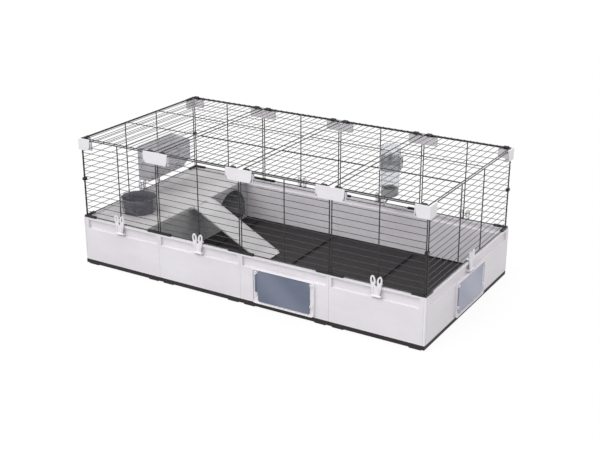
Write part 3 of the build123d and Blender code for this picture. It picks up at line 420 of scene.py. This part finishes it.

# %% [markdown]
# The bowl and the bottle's bracket are smoky clear plastic, the hay rack is a paler one. Some
# light goes through, the rest scatters on the fine mould marks. A blend by height makes the bowl
# paler towards its rim: a painted highlight along the rim over a darker body.


# %% Smoky plastics
def smoky_plastic(name, deep, pale, through, roughness):
    """See-through plastic whose tint drifts between two tones, with faint flow lines."""
    finish, nodes, links, shader = start_finish(name, roughness, transmission=through, ior=1.49)
    point = object_point(nodes, links)
    stretched = object_point(nodes, links, (1.0, 1.0, 4.0))
    drift = spread(nodes, links, grain(nodes, links, stretched, 16.0), 0.3, 0.7)
    links.new(mix_colours(nodes, links, drift, deep, pale), shader.inputs["Base Color"])
    uneven = spread(nodes, links, drift, 0.0, 1.0, roughness, roughness + 0.12)
    links.new(uneven, shader.inputs["Roughness"])
    relief(nodes, links, shader, grain(nodes, links, point, 700.0, 2.0), 0.2, 0.0003)
    return finish


# Painted highlight: from these heights up, the bowl is blended to a paler tone at its rim.
highlight_from, highlight_full = 0.226, 0.245
bowl_smoke = smoky_plastic("bowl_smoke", (0.160, 0.160, 0.188), (0.240, 0.240, 0.278), 0.55, 0.06)
nodes, links = bowl_smoke.node_tree.nodes, bowl_smoke.node_tree.links
shader = nodes["Principled BSDF"]
body_colour = shader.inputs["Base Color"].links[0].from_socket
bowl_parts = nodes.new("ShaderNodeSeparateXYZ")
links.new(object_point(nodes, links), bowl_parts.inputs[0])
rim_highlight_mask = spread(nodes, links, bowl_parts.outputs[2], highlight_from, highlight_full)
bowl_tone = mix_colours(nodes, links, rim_highlight_mask, body_colour, (0.245, 0.245, 0.275))
links.new(bowl_tone, shader.inputs["Base Color"])

bracket_deep, bracket_pale = (0.560, 0.560, 0.590), (0.660, 0.660, 0.690)
bracket_smoke = smoky_plastic("bracket_smoke", bracket_deep, bracket_pale, 0.75, 0.12)
rack_frost = smoky_plastic("rack_frost", (0.66, 0.65, 0.68), (0.78, 0.77, 0.80), 0.64, 0.25)
bottle_clear = smoky_plastic("bottle_clear", (0.88, 0.89, 0.92), (0.94, 0.95, 0.97), 0.95, 0.04)
cap_grey = smoky_plastic("cap_grey", (0.470, 0.468, 0.490), (0.560, 0.558, 0.580), 0.35, 0.30)
print("made:", bowl_smoke.name, bracket_smoke.name, rack_frost.name)
print("made:", bottle_clear.name, cap_grey.name)

# %% [markdown]
# The drinking tube and its ball are polished stainless steel, with fine marks from drawing the
# tube.

# %% Steel
tube_steel, nodes, links, shader = start_finish("tube_steel", 0.22, metallic=1.0)
drawn = grain(nodes, links, object_point(nodes, links, (900.0, 60.0, 60.0)), 1.0, 3.0)
polished = mix_colours(nodes, links, drawn, (0.52, 0.52, 0.53), (0.68, 0.68, 0.69))
links.new(polished, shader.inputs["Base Color"])
links.new(spread(nodes, links, drawn, 0.3, 0.7, 0.16, 0.34), shader.inputs["Roughness"])
relief(nodes, links, shader, drawn, 0.1, 0.0001)
print("made:", tube_steel.name)

# %% [markdown]
# Each solid keeps its mesh and only gets a finish in its material slots. Wires and latches are
# picked by a word in their names. A table of name starts covers the rest: the first match wins,
# so the longer names come first.

# %% Give every solid its finish
finish_by_start = [
    ("floor_tray", tray_charcoal),
    ("front_panel", wall_white),
    ("back_panel", wall_white),
    ("left_panel", wall_white),
    ("right_panel", wall_white),
    ("corner_posts", clip_white),
    ("window_frame", clip_white),
    ("window_button", clip_white),
    ("window_pane_front", pane_blue),
    ("window_pane_right", pane_pale),
    ("connector_covers", clip_white),
    ("connector_holders", holder_two_tone),
    ("corner_ties", clip_black),
    ("base_joint_bars", clip_black),
    ("platform", platform_grey),
    ("house_wall", house_grey),
    ("ramp", ramp_grey),
    ("bowl", bowl_smoke),
    ("hay_rack", rack_frost),
    ("bottle_bracket", bracket_smoke),
    ("bottle_ball", tube_steel),
    ("bottle_cap", cap_grey),
    ("bottle", bottle_clear),
]
for name, solid in nodes_of_cage.items():
    chosen = wire_enamel if name.endswith("mesh") or "_mesh_" in name else None
    if "latch" in name:
        chosen = clip_white
    for start, finish in finish_by_start:
        if chosen is None and name.startswith(start):
            chosen = finish
    for place in solid.material_slots:
        place.material = chosen
print("finished solids:", len(nodes_of_cage))

# %% [markdown]
# The bottle is blown plastic: a turned shape with a domed end, soft grip rings and a thin wall. A
# turned shape is a profile of radius against height, carried round the axis. Three helpers make
# such surfaces: one places the points, one weaves quads between them, and one rounds a corner of
# the profile.

# %% Turned surfaces
bottle_axis = (0.247, 0.304)
mm_per_m = 1000.0


def turned(name, radii, heights, sides=96, flutes=0, flute_depth=0.0, fluted=None):
    """Row i has radius r_i, height z_i; fluted rows lose depth * (1 + cos(flutes * angle)) / 2."""
    angle = np.linspace(0.0, 2.0 * np.pi, sides, endpoint=False)
    where = np.zeros(len(radii)) if fluted is None else np.asarray(fluted, float)
    groove = flute_depth * 0.5 * (1.0 + np.cos(flutes * angle))
    radius = np.maximum(np.asarray(radii)[:, None] - where[:, None] * groove[None, :], 0.0)
    grid = np.empty((len(radii), sides, 3))
    grid[..., 0] = bottle_axis[0] + radius * np.cos(angle)
    grid[..., 1] = bottle_axis[1] + radius * np.sin(angle)
    grid[..., 2] = np.asarray(heights)[:, None]
    return woven(name, grid, closed_rows=False)


def woven(name, grid, closed_rows):
    """Quads between neighbouring grid points; columns close on themselves, rows only if asked."""
    rows, columns = grid.shape[:2]
    last = rows if closed_rows else rows - 1
    i, j = np.meshgrid(np.arange(last), np.arange(columns), indexing="ij")
    up, on = (i + 1) % rows, (j + 1) % columns
    corners = [i * columns + j, i * columns + on, up * columns + on, up * columns + j]
    quads = np.stack(corners, -1).reshape(-1, 4)
    mesh = bpy.data.meshes.new(name)
    mesh.from_pydata(grid.reshape(-1, 3).tolist(), [], quads.tolist())
    work = bmesh.new()
    work.from_mesh(mesh)
    bmesh.ops.remove_doubles(work, verts=work.verts, dist=1e-6)
    bmesh.ops.recalc_face_normals(work, faces=work.faces)
    work.to_mesh(mesh)
    work.free()
    mesh.polygons.foreach_set("use_smooth", np.ones(len(mesh.polygons), dtype=bool))
    piece = bpy.data.objects.new(name, mesh)
    bpy.context.collection.objects.link(piece)
    print(name, "faces:", len(mesh.polygons))
    return piece


def rounded(corner, radius_mm, start_deg, end_deg, count=9):
    """Points on an arc about a corner, in millimetres: corner + radius * (cos t, sin t)."""
    t = np.radians(np.linspace(start_deg, end_deg, count))
    return [(corner[0] + radius_mm * np.cos(v), corner[1] + radius_mm * np.sin(v)) for v in t]


# %% [markdown]
# The bottle's profile comes down the outside, from the dome over the grip rings to the neck, and
# goes back up the inside, one wall in. So the wall has a real thickness and the mouth is open.
# The rings are a cosine.

# %% Bottle
ring_top, ring_foot, ring_pitch, ring_depth = 356.0, 294.0, 12.4, 0.7
waist_r, neck_r, wall = 36.4, 28.9, 1.5
shoulder_centre = (25.0, 436.0)
ring_z = np.linspace(ring_top, ring_foot, 90)
ring_wave = 0.5 - 0.5 * np.cos(2 * np.pi * (ring_z - ring_foot) / ring_pitch)
ring_r = waist_r - ring_depth * ring_wave
outer = [(0.0, 450.0), (16.0, 449.4), *rounded(shoulder_centre, 13.6, 78, 0)]
outer += [(38.9, 430.0), (38.9, 364.5), (38.2, 362.0), (36.8, 360.4)]
outer += list(zip(ring_r, ring_z))
outer += [(waist_r, 291.0), (33.0, 284.5), (neck_r, 282.0), (neck_r, 262.2)]
inner = [(neck_r - wall, 262.2), (neck_r - wall, 283.0), (32.0, 286.0), (34.6, 292.0)]
inner += [(r - wall, z) for r, z in zip(ring_r[::-1], ring_z[::-1])]
inner += [(35.2, 361.0), (37.3, 365.0), (37.3, 430.0), *rounded(shoulder_centre, 12.2, 0, 78)]
inner += [(15.0, 448.0), (0.0, 448.5)]
profile = np.array(outer + inner) / mm_per_m
blown_bottle = turned("blown_bottle", profile[:, 0], profile[:, 1])
blown_bottle.data.materials.append(bottle_clear)
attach(blown_bottle, "bottle")
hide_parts("bottle")

# %% [markdown]
# The cap is gripped by hand, so its side is fluted. The flutes are a cosine around the axis that
# is only taken off the rows of the profile that lie on the side. The tube leaves through a short
# collar.

# %% Screw cap
flute_count, flute_deep = 28, 0.0009
cap_profile = [(4.1, 262.0), (4.1, 244.6), (8.0, 244.6), (8.6, 246.0), (9.2, 251.2), (29.0, 251.0)]
cap_rows = [0.0] * len(cap_profile)
cap_profile += rounded((30.0, 255.0), 4.0, -80, 0)
cap_profile += [(34.0, 258.0), (34.0, 268.0), (34.0, 277.5), (33.2, 280.6)]
cap_rows += [0.0, 0.1, 0.3, 0.6, 0.8, 1.0, 1.0, 1.0, 1.0, 1.0, 1.0, 0.8, 0.0]
cap_profile += [(32.6, 281.0), (29.1, 281.0), (29.1, 262.0), (4.1, 262.0)]
cap_rows += [0.0] * 4
cap = np.array(cap_profile) / mm_per_m
screw_cap = turned("screw_cap", cap[:, 0], cap[:, 1], 224, flute_count, flute_deep, cap_rows)
screw_cap.data.materials.append(cap_grey)
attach(screw_cap, "bottle")
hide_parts("bottle_cap")

# %% [markdown]
# The tube drops out of the cap, bends forward, and ends in a rolled lip that keeps its ball in. A
# bent tube is a circle carried along a line. The line lies in one plane, so the circle's two axes
# are simply the sideways direction and the one at right angles to both it and the line.

# %% Drinking tube
tube_sides = 40
tube_outer_r, tube_inner_r = 3.95, 3.42
lip_outer_r, lip_inner_r, lip_start_r = 3.55, 3.05, 3.30
drop = math.radians(21.0)
heading = np.array([-math.cos(drop), -math.sin(drop)])
elbow = np.array([bottle_axis[1] * mm_per_m, 243.0])
bend_r = 8.0
turn_angle = math.radians(90.0) - drop
setback = bend_r * math.tan(turn_angle / 2)
tube_length = 52.0
down = np.stack([np.full(6, elbow[0]), np.linspace(268.0, elbow[1] + setback, 6)], 1)
sweep_angle = np.linspace(0.0, turn_angle, 14)[1:]
hub = np.array([elbow[0] - bend_r, elbow[1] + setback])
around = np.stack([hub[0] + bend_r * np.cos(sweep_angle), hub[1] - bend_r * np.sin(sweep_angle)], 1)
ahead = elbow + heading * np.linspace(setback + 4.0, tube_length, 24)[:, None]
line = np.concatenate([down, around, ahead])
step = np.gradient(line, axis=0)
step /= np.linalg.norm(step, axis=1)[:, None]
normal = np.stack([step[:, 1], -step[:, 0]], 1)
outer_r = np.full(len(line), tube_outer_r)
outer_r[-1] = lip_outer_r
inner_r = np.full(len(line), tube_inner_r)
inner_r[-1] = lip_inner_r
inner_r[-2] = lip_start_r
both_line = np.concatenate([line, line[::-1]])
both_normal = np.concatenate([normal, normal[::-1]])
both_r = np.concatenate([outer_r, inner_r[::-1]])
circle = np.linspace(0.0, 2.0 * np.pi, tube_sides, endpoint=False)
sideways, outward = both_r[:, None] * np.cos(circle), both_r[:, None] * np.sin(circle)
tube_grid = np.empty((len(both_r), tube_sides, 3))
tube_grid[..., 0] = bottle_axis[0] * mm_per_m + sideways
tube_grid[..., 1] = both_line[:, 0, None] + outward * both_normal[:, 0, None]
tube_grid[..., 2] = both_line[:, 1, None] + outward * both_normal[:, 1, None]
drinking_tube = woven("drinking_tube", tube_grid / mm_per_m, closed_rows=True)
drinking_tube.data.materials.append(tube_steel)
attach(drinking_tube, "bottle")
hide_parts("bottle_cap")
